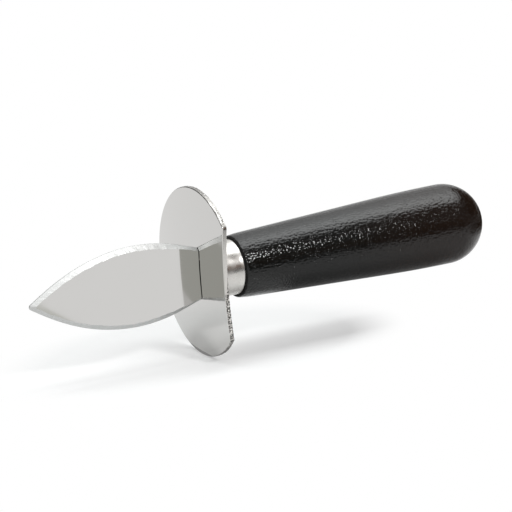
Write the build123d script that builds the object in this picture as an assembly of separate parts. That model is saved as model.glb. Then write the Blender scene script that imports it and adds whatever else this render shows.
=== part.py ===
from build123d import *
import os
from math import acos, cos, degrees, hypot, radians, sin, sqrt, tan

# An oyster knife, in millimetres.
# X runs along the knife from the blade's tip to the butt, Z is along the blade's width, and Y is through
# the blade's thickness. Each piece is made with the knife's axis on X and the blade's root at X = 0, and
# is then moved so that the origin lies on the guard's flat, level with the axis and midway through the
# guard's edge.

# Blade and tang, cut from one stainless strip and ground from both sides
blade_length = 59.5
blade_width = 26.4
blade_root_width = 17.2
blade_thickness = 2.4
edge_thickness = 0.5
bevel_width = 1.6
bevel_root_width = 0.9
tip_radius = 1.0
tip_half_angle = 33.0
root_taper_angle = 18.0
bevel_tip_setback = 2.0
bevel_tip_radius = 0.5
tang_width = 8.9
tang_end_width = 5.0
tang_length = 60.0
tang_point_length = 4.0

# The leaf's stations, as shares of the blade's length from the tip and of its half width
leaf_length_shares = (0.25, 0.45, 0.65, 0.82)
leaf_width_shares = (0.66, 0.93, 1.0, 0.9)

# Guard, a stamped round plate, domed towards the blade, with one side cut straight
guard_diameter = 55.6
guard_thickness = 1.4
guard_dome_radius = 225.0
guard_flat_depth = 7.1
guard_centre_back = 4.2
guard_centre_drop = 0.6
guard_edge_break = 0.2
slot_clearance = 0.3

# Ferrule, a drawn tube between the guard and the handle's shoulder
ferrule_diameter = 18.0
ferrule_wall = 0.8
ferrule_length = 10.8
ferrule_end_break = 0.3

# Handle, turned from one piece of wood, with a tenon inside the ferrule and a drilled bore for the tang
handle_length = 92.7
handle_diameter = 26.2
handle_lip = 1.1
handle_lip_radius = 0.7
palm_radius = 540.0
tenon_setback = 0.8
bore_clearance = 0.4
bore_end_gap = 2.0
drill_half_angle = 59.0

# How far a cutting body runs past what it cuts, and how far the tang starts inside the blade
overrun = 2.0

# Sizes that follow from the ones above
guard_radius = guard_diameter / 2
flat_distance = guard_radius - guard_centre_back - guard_flat_depth
ferrule_radius = ferrule_diameter / 2
tenon_radius = ferrule_radius - ferrule_wall
lip_radius = ferrule_radius + handle_lip
ball_radius = handle_diameter / 2
bore_radius = hypot(tang_width, blade_thickness) / 2 + bore_clearance


def guard_front(distance):
    """X of the guard's domed front at a distance from the knife's axis."""
    return guard_dome_radius - sqrt(guard_dome_radius ** 2 - distance ** 2)


def guard_back(distance):
    """X of the guard's hollow back at a distance from the knife's axis."""
    inner_radius = guard_dome_radius - guard_thickness
    return guard_dome_radius - sqrt(inner_radius ** 2 - distance ** 2)


ferrule_front = guard_back(ferrule_radius)
shoulder = ferrule_front + ferrule_length
butt = shoulder + handle_length
tenon_front = guard_back(0) + tenon_setback
bore_end = tang_length + bore_end_gap


def dome(depth):
    """The ball that the guard is shaped to, taken a depth below its front."""
    return Pos(guard_dome_radius, 0, 0) * Sphere(guard_dome_radius - depth)


def leaf(depth, setback, round_radius, inset, root_inset):
    """One outline of the blade, a depth from its middle plane.

    The outline starts a setback behind the blade's tip with a small round, follows the leaf's stations at
    an inset from the edge, comes to the root at an inset of its own, and runs on past it.
    """
    angle = radians(tip_half_angle)
    taper = radians(root_taper_angle)
    tip = setback - blade_length
    round_end = (tip + round_radius * (1 - sin(angle)), round_radius * cos(angle))
    stations = [
        (blade_length * (along - 1), blade_width / 2 * across - inset)
        for along, across in zip(leaf_length_shares, leaf_width_shares)
    ]
    root = (0, blade_root_width / 2 - root_inset)
    root_end = (overrun, root[1] - overrun * tan(taper))
    side = Spline(
        round_end, *stations, root, tangents=[(cos(angle), sin(angle)), (cos(taper), -sin(taper))]
    )
    half = side + Line(root, root_end)
    nose = ThreePointArc((round_end[0], -round_end[1]), (tip, 0), round_end)
    end = Line(root_end, (root_end[0], -root_end[1]))
    return Plane.XZ.offset(depth) * make_face(nose + half + end + mirror(half, about=Plane.XZ))


def tang():
    """The flat tang, tapered in width and pointed at its end."""
    point_start = tang_length - tang_point_length
    outline = Polyline(
        (-overrun, tang_width / 2),
        (0, tang_width / 2),
        (point_start, tang_end_width / 2),
        (tang_length, 0),
        (point_start, -tang_end_width / 2),
        (0, -tang_width / 2),
        (-overrun, -tang_width / 2),
        close=True,
    )
    return extrude(Plane.XZ * make_face(outline), blade_thickness / 2, both=True)


def make_blade():
    """The leaf with its ground bevels, its shoulders cut to seat on the dome, and the tang."""
    face_depth = blade_thickness / 2
    edge_depth = edge_thickness / 2
    face_sizes = (bevel_tip_setback, bevel_tip_radius, bevel_width, bevel_root_width)
    sections = [
        leaf(-face_depth, *face_sizes),
        leaf(-edge_depth, 0, tip_radius, 0, 0),
        leaf(edge_depth, 0, tip_radius, 0, 0),
        leaf(face_depth, *face_sizes),
    ]
    return loft(sections, ruled=True) - dome(0) + tang()


def make_guard():
    """The domed plate with its straight side, its slot for the tang and its broken front edge."""
    plate = Circle(guard_radius)
    plate -= Pos(guard_flat_depth - guard_radius, 0) * Rectangle(
        guard_radius, guard_diameter, align=(Align.MAX, Align.CENTER)
    )
    plate = Pos(guard_centre_back, -guard_centre_drop) * plate
    plate -= Rectangle(blade_thickness + 2 * slot_clearance, tang_width + 2 * slot_clearance)
    blank = extrude(Plane.YZ.offset(-overrun) * plate, guard_radius)
    guard = (blank & dome(0)) - dome(guard_thickness)
    front = guard.faces().filter_by(GeomType.SPHERE).sort_by(Axis.X)[0]
    return chamfer(front.outer_wire().edges(), guard_edge_break)


def make_ferrule():
    """The tube, with the edge of its rear end broken."""
    ring = Circle(ferrule_radius) - Circle(tenon_radius)
    tube = extrude(Plane.YZ.offset(ferrule_front) * ring, ferrule_length)
    rear = tube.edges().group_by(Axis.X)[-1].sort_by(SortBy.RADIUS)[-1]
    return chamfer(rear, ferrule_end_break)


def bore_points():
    """The bore's outline from its mouth to the drill's point."""
    return [
        (tenon_front, bore_radius),
        (bore_end, bore_radius),
        (bore_end + bore_radius / tan(radians(drill_half_angle)), 0),
    ]


def make_handle():
    """The turned handle: a straight swell from the lip, a long arc over the palm, and a ball at the butt."""
    lip_point = Vector(shoulder, lip_radius)
    ball_top = Vector(butt - ball_radius, ball_radius)
    palm_centre = ball_top - Vector(0, palm_radius)
    to_lip = lip_point - palm_centre
    turn = degrees(acos(palm_radius / to_lip.length))
    palm_start = palm_centre + to_lip.normalized().rotate(Axis.Z, -turn) * palm_radius
    bore = bore_points()
    outline = Polyline(bore[0], (tenon_front, tenon_radius), (shoulder, tenon_radius), lip_point, palm_start)
    outline += TangentArc(palm_start, ball_top, tangent=palm_start - lip_point)
    outline += TangentArc(ball_top, (butt, 0), tangent=(1, 0))
    outline += Polyline((butt, 0), *reversed(bore))
    turned = revolve(make_face(outline), Axis.X)
    shoulder_face = turned.faces().filter_by(Axis.X).sort_by(Axis.X)[-1]
    return fillet(shoulder_face.outer_wire().edges(), handle_lip_radius)


def make_tang_resin():
    """The cured resin that fills the bore round the tang."""
    filling = Polyline((tenon_front, 0), *bore_points(), close=True)
    return revolve(make_face(filling), Axis.X) - tang()


pieces = {
    "blade": make_blade,
    "guard": make_guard,
    "ferrule": make_ferrule,
    "handle": make_handle,
    "tang_resin": make_tang_resin,
}
flat_middle = (guard_front(flat_distance) + guard_back(flat_distance)) / 2
on_flat = Pos(-flat_middle, flat_distance, 0)

os.makedirs("parts", exist_ok=True)
for name, make_piece in pieces.items():
    piece = on_flat * make_piece()
    piece.label = name
    export_step(piece, f"parts/{name}.step")
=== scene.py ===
"""The looks of an oyster knife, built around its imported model.

The knife's own frame is in millimetres. Its X axis runs along the knife, with the blade's root at zero and
the tip at minus X, Y is through the blade's thickness and Z is along the blade's width. Every surface is
worked out there as a grid of points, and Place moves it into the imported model's frame, in metres, when its
mesh is made.
"""

import logging
import math
from dataclasses import dataclass, field
from enum import Enum

import bmesh
import bpy
import numpy as np
from mathutils import Matrix, Vector


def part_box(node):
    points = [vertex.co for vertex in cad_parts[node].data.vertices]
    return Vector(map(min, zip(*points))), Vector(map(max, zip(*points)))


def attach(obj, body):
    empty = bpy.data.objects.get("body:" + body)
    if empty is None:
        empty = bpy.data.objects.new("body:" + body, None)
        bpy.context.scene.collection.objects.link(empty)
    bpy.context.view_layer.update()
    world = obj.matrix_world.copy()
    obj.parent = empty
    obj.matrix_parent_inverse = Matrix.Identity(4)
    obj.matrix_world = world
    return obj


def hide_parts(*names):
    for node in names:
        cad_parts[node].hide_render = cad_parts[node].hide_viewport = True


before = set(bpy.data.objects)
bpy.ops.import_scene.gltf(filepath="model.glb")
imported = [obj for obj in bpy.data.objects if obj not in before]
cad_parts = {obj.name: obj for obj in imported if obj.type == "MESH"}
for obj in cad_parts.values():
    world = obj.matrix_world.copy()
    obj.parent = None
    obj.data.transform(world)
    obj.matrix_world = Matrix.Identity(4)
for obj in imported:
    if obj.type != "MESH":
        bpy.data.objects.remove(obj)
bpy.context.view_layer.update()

MM = 0.001
TURN = 2 * math.pi
MERGE_DISTANCE = 1e-7
SHARP_ANGLE = math.radians(25)

# The least that a length or a direction's share is divided by, and the slack where sizes are compared
LEAST = 1e-6

# How many random heights a noise has each way, and how rough a material's cloudy pattern is
NOISE_SIDE = 512
CLOUD_ROUGHNESS = 0.55

# The ranges that hold the middle and the body of a cloudy pattern's values
CLOUD_MIDDLE = (0.35, 0.65)
CLOUD_BODY = (0.3, 0.7)

# Settings of the nodes that ease a value between two ranges and that mix two colours, and the places of the
# mix's share and colours among its inputs and of its colour among its outputs
EASED = {"interpolation_type": "SMOOTHSTEP"}
COLOURS = {"data_type": "RGBA"}
SHARE, FIRST, SECOND = 0, 6, 7
MIXED = 2

# Shares of the way out over the guard's faces at which they have rings, closer together towards the edge
FACE_ROWS = np.concatenate([np.linspace(0, 0.9, 12), [0.96, 0.99, 1.0]])

log = logging.getLogger("oyster_knife")


class Slot(Enum):
    """The record's material slots."""

    BLADE = "blade_steel"
    GUARD = "guard_steel"
    FERRULE = "ferrule_steel"
    HANDLE = "lacquered_wood"


class Region(Enum):
    """The kinds of surface that one piece may carry, as places in its list of materials."""

    FACE = 0
    WORKED = 1


# Numbers and curves


def smooth_step(value: np.ndarray) -> np.ndarray:
    """Eases a share from 0 to 1 as 3t^2 - 2t^3, and holds it there outside that range."""
    held = np.clip(value, 0, 1)
    return held * held * (3 - 2 * held)


@dataclass(frozen=True)
class Noise:
    """Smooth seeded noise over two surface coordinates.

    Random heights stand at the whole numbers of each coordinate divided by its cell. Between them the height
    is their blend by the eased fractions.

    Attributes:
        cell: The two cell sizes, in millimetres. With a ring, the first is in cells of the ring.
        seed: The seed of the random heights.
        height: The noise runs from minus this to plus this.
        ring: How many cells go round a whole turn, or 0 where the first coordinate isn't a share of a turn.
    """

    cell: tuple
    seed: int
    height: float = 1.0
    ring: int = 0

    def at(self, along: np.ndarray, across: np.ndarray) -> np.ndarray:
        """The noise at points of a surface.

        Args:
            along: First coordinate, in millimetres, or with a ring as a share of a turn.
            across: Second coordinate, in millimetres.

        Returns:
            The noise, in the shape of the coordinates.
        """
        heights = np.random.default_rng(self.seed).uniform(-1, 1, (NOISE_SIDE, NOISE_SIDE))
        first, second = np.broadcast_arrays(along * (self.ring or 1) / self.cell[0], across / self.cell[1])
        low_first, low_second = np.floor(first).astype(int), np.floor(second).astype(int)
        ease_first, ease_second = smooth_step(first - low_first), smooth_step(second - low_second)
        period = self.ring or NOISE_SIDE
        near, far = low_first % period, (low_first + 1) % period
        left, right = low_second % NOISE_SIDE, (low_second + 1) % NOISE_SIDE
        start = heights[near, left] * (1 - ease_first) + heights[far, left] * ease_first
        end = heights[near, right] * (1 - ease_first) + heights[far, right] * ease_first
        return self.height * (start * (1 - ease_second) + end * ease_second)


def layered(layers: tuple[Noise, ...], along: np.ndarray, across: np.ndarray) -> np.ndarray:
    """The sum of several layers of noise at the same points."""
    return sum(layer.at(along, across) for layer in layers)


def clamped_spline(points: np.ndarray, start: tuple, end: tuple, count: int) -> np.ndarray:
    """A curve through points that leaves and arrives along given directions.

    The parameter is the length of the chords, and the curve is a cubic on each. The velocities m at the inner
    points keep the curvature continuous: they solve h1 m0 + 2 (h0 + h1) m1 + h0 m2 = 3 (h1 d0 + h0 d1), where
    h is a chord's length and d its direction.

    Args:
        points: The points, one row each.
        start: Unit direction at the first point.
        end: Unit direction at the last point.
        count: How many points to return.

    Returns:
        Points along the curve, one row each.
    """
    steps = np.diff(points, axis=0)
    chords = np.linalg.norm(steps, axis=1)
    slopes = steps / chords[:, None]
    size = len(points)
    inner = np.arange(1, size - 1)
    system = np.eye(size)
    system[inner, inner - 1] = chords[1:]
    system[inner, inner] = 2 * (chords[:-1] + chords[1:])
    system[inner, inner + 1] = chords[:-1]
    wanted = np.vstack([start, 3 * (chords[1:, None] * slopes[:-1] + chords[:-1, None] * slopes[1:]), end])
    velocity = np.linalg.solve(system, wanted)
    knots = np.concatenate([[0], np.cumsum(chords)])
    at = np.linspace(0, knots[-1], count)
    span = np.clip(np.searchsorted(knots, at, side="right") - 1, 0, size - 2)
    chord = chords[span][:, None]
    share = (at[:, None] - knots[span][:, None]) / chord
    rest = 1 - share
    return (
        rest**2 * (1 + 2 * share) * points[span]
        + share**2 * (1 + 2 * rest) * points[span + 1]
        + share * rest * chord * (rest * velocity[span] - share * velocity[span + 1])
    )


def spaced(points: np.ndarray, shares: np.ndarray) -> np.ndarray:
    """Points at given shares of the length of a line of points.

    Args:
        points: The line, one row each.
        shares: Shares of its length, from 0 to 1.

    Returns:
        One row for each share.
    """
    travelled = np.concatenate([[0], np.cumsum(np.linalg.norm(np.diff(points, axis=0), axis=1))])
    wanted = shares * travelled[-1]
    return np.stack([np.interp(wanted, travelled, axis) for axis in points.T], axis=1)


def arc(centre: tuple, radius: float, start: float, end: float, count: int) -> np.ndarray:
    """Points along a circle's arc: the centre plus the radius times (cos, sin) of an evenly turning angle.

    Args:
        centre: The circle's centre.
        radius: Its radius.
        start: First angle, in radians.
        end: Last angle, in radians.
        count: How many points.

    Returns:
        The points, one row each.
    """
    angle = np.linspace(start, end, count)
    return np.stack([centre[0] + radius * np.cos(angle), centre[1] + radius * np.sin(angle)], axis=1)


def straight(start: tuple, end: tuple, count: int) -> np.ndarray:
    """A count of evenly spaced points from one point to another, both included."""
    return np.linspace(start, end, count)


def revolved(profile: np.ndarray, angles: np.ndarray) -> np.ndarray:
    """Turns a profile about the X axis: (x, r) at an angle a becomes (x, r sin a, r cos a).

    Args:
        profile: The profile's x and radius, one row each.
        angles: The angles of the columns, in radians.

    Returns:
        A grid of points, one row for each profile point.
    """
    along = np.broadcast_to(profile[:, :1], (len(profile), len(angles)))
    radius = profile[:, 1:]
    return np.stack([along, radius * np.sin(angles), radius * np.cos(angles)], axis=-1)


def grid_normals(points: np.ndarray) -> np.ndarray:
    """Unit normals of a grid, from the cross product of its steps along the rows and the columns.

    Args:
        points: The grid.

    Returns:
        The normals. They are zero where the grid has no area.
    """
    normal = np.cross(np.gradient(points, axis=0), np.gradient(points, axis=1))
    length = np.linalg.norm(normal, axis=-1, keepdims=True)
    return normal / np.maximum(length, LEAST**2)


def grid_faces(rows: int, columns: int) -> np.ndarray:
    """The four-cornered faces of a grid of points, which are numbered row by row.

    Args:
        rows: How many rows of points the grid has.
        columns: How many points a row has.

    Returns:
        The numbers of each face's corners, one row each.
    """
    corner = np.arange(rows * columns).reshape(rows, columns)
    corners = (corner[:-1, :-1], corner[:-1, 1:], corner[1:, 1:], corner[1:, :-1])
    return np.stack(corners, axis=-1).reshape(-1, 4)


# Meshes


@dataclass(frozen=True)
class Place:
    """Where the knife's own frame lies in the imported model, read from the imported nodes.

    Attributes:
        root: X of the blade's root, in millimetres.
        axis: Y of the knife's axis, in millimetres.
        floor: Z of the guard's lowest point, in millimetres.
    """

    root: float
    axis: float
    floor: float

    @classmethod
    def read(cls, blade_length: float) -> "Place":
        """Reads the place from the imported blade, ferrule and guard.

        Args:
            blade_length: From the blade's tip to its root.

        Returns:
            The place.
        """
        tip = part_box("blade")[0].x / MM
        ferrule_low, ferrule_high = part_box("ferrule")
        return cls(
            root=tip + blade_length,
            axis=(ferrule_low.y + ferrule_high.y) / 2 / MM,
            floor=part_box("guard")[0].z / MM,
        )

    def metres(self, points: np.ndarray) -> np.ndarray:
        """Points of the knife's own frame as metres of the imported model's."""
        return (points + np.array([self.root, self.axis, 0])) * MM


@dataclass
class Surface:
    """A closed surface as a grid of points.

    A way round that closes repeats its first line, and a pole repeats one point along a whole row. Merging
    the doubles closes both.

    Attributes:
        points: The grid, rows by columns by three, in millimetres of the knife's own frame.
        region: The region of each face, rows less one by columns less one.
        fields: Named values at the points, which the materials read as attributes.
    """

    points: np.ndarray
    region: np.ndarray | None = None
    fields: dict[str, np.ndarray] = field(default_factory=dict)

    def mesh(self, name: str, place: Place) -> bpy.types.Mesh:
        """Makes the mesh, with its faces turned outwards.

        The grid's signed volume is the sum of a . (b x c + c x d) / 6 over its faces, and where it comes out
        negative the faces are turned round.

        Args:
            name: The mesh's name.
            place: Where the knife lies.

        Returns:
            The mesh.
        """
        faces = grid_faces(*self.points.shape[:2])
        points = place.metres(self.points).reshape(-1, 3)
        first, second, third, fourth = (points[faces[:, side]] for side in range(4))
        volume = np.sum(first * (np.cross(second, third) + np.cross(third, fourth))) / 6
        if volume < 0:
            faces = faces[:, ::-1]
        mesh = bpy.data.meshes.new(name)
        mesh.from_pydata(points, [], faces)
        if self.region is not None:
            mesh.polygons.foreach_set("material_index", self.region.astype(np.int32).ravel())
        for label, values in self.fields.items():
            attribute = mesh.attributes.new(label, "FLOAT", "POINT")
            attribute.data.foreach_set("value", values.astype(np.float32).ravel())
        mesh.polygons.foreach_set("use_smooth", np.ones(len(faces), bool))
        welded = bmesh.new()
        welded.from_mesh(mesh)
        bmesh.ops.remove_doubles(welded, verts=welded.verts, dist=MERGE_DISTANCE)
        welded.to_mesh(mesh)
        welded.free()
        mesh.set_sharp_from_angle(angle=SHARP_ANGLE)
        return mesh


def add_object(name: str, data: bpy.types.ID) -> bpy.types.Object:
    """Adds an object to the scene.

    Args:
        name: Its name.
        data: Its mesh, lamp or camera.

    Returns:
        The object.
    """
    made = bpy.data.objects.new(name, data)
    bpy.context.scene.collection.objects.link(made)
    return made


# Materials


def to_linear(colour: str) -> tuple[float, float, float, float]:
    """Turns an sRGB colour into linear light.

    A channel c becomes c / 12.92 up to 0.04045 and ((c + 0.055) / 1.055)^2.4 above it.

    Args:
        colour: Six hex digits after a hash.

    Returns:
        Linear red, green and blue, and an alpha of one.
    """
    channels = [int(colour[at : at + 2], 16) / 255 for at in (1, 3, 5)]
    red, green, blue = (c / 12.92 if c <= 0.04045 else ((c + 0.055) / 1.055) ** 2.4 for c in channels)
    return red, green, blue, 1.0


def empty_tree(owner: bpy.types.Material | bpy.types.World) -> bpy.types.NodeTree:
    """Turns on a material's or a world's nodes and takes them all out.

    Args:
        owner: The material or the world.

    Returns:
        The empty node tree.
    """
    owner.use_nodes = True
    owner.node_tree.nodes.clear()
    return owner.node_tree


def add_node(
    tree: bpy.types.NodeTree, kind: str, inputs: dict | tuple = (), **settings: object
) -> bpy.types.Node:
    """Adds a node with its settings, values and links.

    Args:
        tree: The node tree.
        kind: The node's type, less the "ShaderNode" that it starts with.
        inputs: A value, an output or a node, whose first output is meant, for each input by its name or
            number, or for the first inputs in their order.
        **settings: The node's own properties.

    Returns:
        The node.
    """
    node = tree.nodes.new(f"ShaderNode{kind}")
    for name, value in settings.items():
        setattr(node, name, value)
    for name, value in inputs.items() if isinstance(inputs, dict) else enumerate(inputs):
        if isinstance(value, bpy.types.Node):
            value = value.outputs[0]
        if isinstance(value, bpy.types.NodeSocket):
            tree.links.new(value, node.inputs[name])
        else:
            node.inputs[name].default_value = value
    return node


def pattern_place(tree: bpy.types.NodeTree, cell: tuple) -> bpy.types.Node:
    """Object coordinates divided by a cell's size, so that one unit of a pattern is one cell.

    Args:
        tree: The node tree.
        cell: The cell's length along X, Y and Z, in millimetres.

    Returns:
        The node that gives the scaled coordinates.
    """
    place = add_node(tree, "TexCoord").outputs["Object"]
    return add_node(tree, "Mapping", {"Vector": place, "Scale": tuple(1 / (MM * size) for size in cell)})


def cloudy(tree: bpy.types.NodeTree, cell: tuple, detail: float = 2.0) -> bpy.types.Node:
    """A cloudy pattern from 0 to 1 whose features are about a cell across.

    Args:
        tree: The node tree.
        cell: The cell's length along X, Y and Z, in millimetres.
        detail: Octaves of finer pattern.

    Returns:
        The node that gives the pattern.
    """
    inputs = {"Scale": 1.0, "Detail": detail, "Roughness": CLOUD_ROUGHNESS}
    return add_node(tree, "TexNoise", {"Vector": pattern_place(tree, cell), **inputs}, noise_dimensions="3D")


@dataclass(frozen=True)
class Finish:
    """A surface finish, which makes one material. Its sizes are in millimetres.

    Attributes:
        name: The material's name.
    """

    name: str

    def look(self, tree: bpy.types.NodeTree) -> dict[str, object]:
        """Adds the finish's patterns.

        Args:
            tree: The material's node tree.

        Returns:
            The inputs of its shader.
        """
        raise NotImplementedError

    def material(self) -> bpy.types.Material:
        """Makes the material.

        Returns:
            The material.
        """
        made = bpy.data.materials.new(self.name)
        tree = empty_tree(made)
        shader = add_node(tree, "BsdfPrincipled", self.look(tree))
        add_node(tree, "OutputMaterial", {"Surface": shader})
        return made


@dataclass(frozen=True)
class SatinStainless(Finish):
    """Cold-rolled stainless sheet, tumbled and buffed to a soft mirror.

    The eye sees a neutral, faintly warm grey that mirrors what lies close to it, and only a little
    cloudiness.
    """

    colour: str = "#CDCCCA"
    roughness: tuple = (0.05, 0.08)
    cloud_size: float = 7.0
    line_width: float = 0.3
    line_length: float = 6.0
    line_depth: float = 0.0004

    def look(self, tree: bpy.types.NodeTree) -> dict[str, object]:
        """Adds the buffed steel's clouds and lines.

        The rolling lines of such a sheet are some hundredths of a millimetre apart, too fine to show, so they
        are drawn a third of a millimetre apart and very shallow.

        Args:
            tree: The material's node tree.

        Returns:
            The inputs of its shader.
        """
        clouds = cloudy(tree, (self.cloud_size,) * 3, 3.0)
        lines = cloudy(tree, (self.line_length, self.line_width, self.line_width), 1.0)
        return {
            "Base Color": to_linear(self.colour),
            "Metallic": 1.0,
            "Roughness": add_node(tree, "MapRange", (clouds, *CLOUD_MIDDLE, *self.roughness), **EASED),
            "Normal": add_node(tree, "Bump", {"Height": lines, "Distance": self.line_depth * MM}),
        }


@dataclass(frozen=True)
class BeltGroundStainless(Finish):
    """Stainless edge left as the coarse grinding belt leaves it.

    The eye sees a bright frosty band that breaks into white and grey flecks, with a ragged border.
    """

    colour: str = "#C3C4C3"
    roughness: tuple = (0.46, 0.58)
    fleck_size: float = 0.8
    scratch_width: float = 0.45
    scratch_depth: float = 0.014

    def look(self, tree: bpy.types.NodeTree) -> dict[str, object]:
        """Adds the ground steel's flecks and scratches.

        A coarse belt's grit leaves scratches about 0.1 mm wide. They are drawn more than four times as wide
        here, since finer ones wouldn't show.

        Args:
            tree: The material's node tree.

        Returns:
            The inputs of its shader.
        """
        flecks = cloudy(tree, (self.fleck_size,) * 3, 2.0)
        scratches = cloudy(tree, (self.scratch_width,) * 3, 1.0)
        return {
            "Base Color": to_linear(self.colour),
            "Metallic": 1.0,
            "Roughness": add_node(tree, "MapRange", (flecks, *CLOUD_MIDDLE, *self.roughness), **EASED),
            "Normal": add_node(tree, "Bump", {"Height": scratches, "Distance": self.scratch_depth * MM}),
        }


@dataclass(frozen=True)
class PunchedStainless(Finish):
    """The edge of a punched stainless plate.

    The punch first burnishes the metal and then tears it, so the eye sees a smooth bright land and beside it
    a crumbly band. The crumbs' dark colour is torn steel with painted shade in their pits, and the sparks of
    light among them are painted glints.

    Attributes:
        burnished: The land's colour.
        lightly_torn_shade_and_glints: Where the edge is torn a little, the crumbs' colour, with painted
            shade, and the sparks' colour, a painted glint.
        torn: The same where it is torn roughly, with deeper painted shade and brighter painted glints.
        spark_level: Where in the grains the crumbs turn to sparks.
        land_border: Over which torn shares the land turns to crumbs.
        rough_border: Over which torn shares the scuffed colours turn to the torn ones.
    """

    burnished: str = "#CFCDC9"
    lightly_torn_shade_and_glints: tuple = ("#868481", "#A3A19E")
    torn: tuple = ("#4A4846", "#E8E6E2")
    roughness: tuple = (0.16, 0.27)
    grain_size: float = 0.5
    grain_depth: float = 0.3
    spark_level: tuple = (0.47, 0.56)
    land_border: tuple = (0.0, 0.5)
    rough_border: tuple = (0.6, 0.9)

    def look(self, tree: bpy.types.NodeTree) -> dict[str, object]:
        """Adds the punched edge's land, crumbs and sparks. The mesh's "torn" attribute is its torn share.

        Torn stainless has grains of some hundredths of a millimetre, drawn here as 0.5 mm clumps so that they
        show.

        Args:
            tree: The material's node tree.

        Returns:
            The inputs of its shader.
        """
        torn = add_node(tree, "Attribute", attribute_name="torn").outputs["Fac"]
        grains = cloudy(tree, (self.grain_size,) * 3, 2.0)
        # Painted light: the crumbs' dark colours carry painted shade in their pits, and where the grains run
        # high they turn to the sparks' bright colour, a painted glint.
        sparks = add_node(tree, "MapRange", (grains, *self.spark_level, 0.0, 1.0), **EASED)
        little, much = (
            add_node(
                tree, "Mix", {SHARE: sparks, FIRST: to_linear(shaded_crumb), SECOND: to_linear(spark)}, **COLOURS
            ).outputs[MIXED]
            for shaded_crumb, spark in (self.lightly_torn_shade_and_glints, self.torn)
        )
        rough = add_node(tree, "MapRange", (torn, *self.rough_border, 0.0, 1.0), **EASED)
        crumbs = add_node(tree, "Mix", {SHARE: rough, FIRST: little, SECOND: much}, **COLOURS)
        broken = add_node(tree, "MapRange", (torn, *self.land_border, 0.0, 1.0), **EASED)
        colours = {SHARE: broken, FIRST: to_linear(self.burnished), SECOND: crumbs.outputs[MIXED]}
        height = add_node(tree, "Math", (grains, torn), operation="MULTIPLY")
        return {
            "Base Color": add_node(tree, "Mix", colours, **COLOURS).outputs[MIXED],
            "Metallic": 1.0,
            "Roughness": add_node(tree, "MapRange", (torn, 0.0, 1.0, *self.roughness), **EASED),
            "Normal": add_node(tree, "Bump", {"Height": height, "Distance": self.grain_depth * MM}),
        }


@dataclass(frozen=True)
class PolishedTube(Finish):
    """Drawn stainless tube, polished as it turns on the lathe.

    The eye sees long bright and dark bands along it, a little frayed by fine rings round the tube.
    """

    colour: str = "#CFCDC9"
    roughness: tuple = (0.26, 0.33)
    cloud_size: float = 3.0
    ring_width: float = 0.28
    ring_reach: float = 40.0
    ring_depth: float = 0.0012

    def look(self, tree: bpy.types.NodeTree) -> dict[str, object]:
        """Adds the polished tube's clouds and rings.

        The polishing rings are under a tenth of a millimetre wide, drawn here three times as wide so that
        they show. They run round the tube because the pattern hardly changes across the axis.

        Args:
            tree: The material's node tree.

        Returns:
            The inputs of its shader.
        """
        clouds = cloudy(tree, (self.cloud_size,) * 3, 2.0)
        rings = cloudy(tree, (self.ring_width, self.ring_reach, self.ring_reach), 1.0)
        return {
            "Base Color": to_linear(self.colour),
            "Metallic": 1.0,
            "Roughness": add_node(tree, "MapRange", (clouds, *CLOUD_MIDDLE, *self.roughness), **EASED),
            "Normal": add_node(tree, "Bump", {"Height": rings, "Distance": self.ring_depth * MM}),
        }


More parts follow.
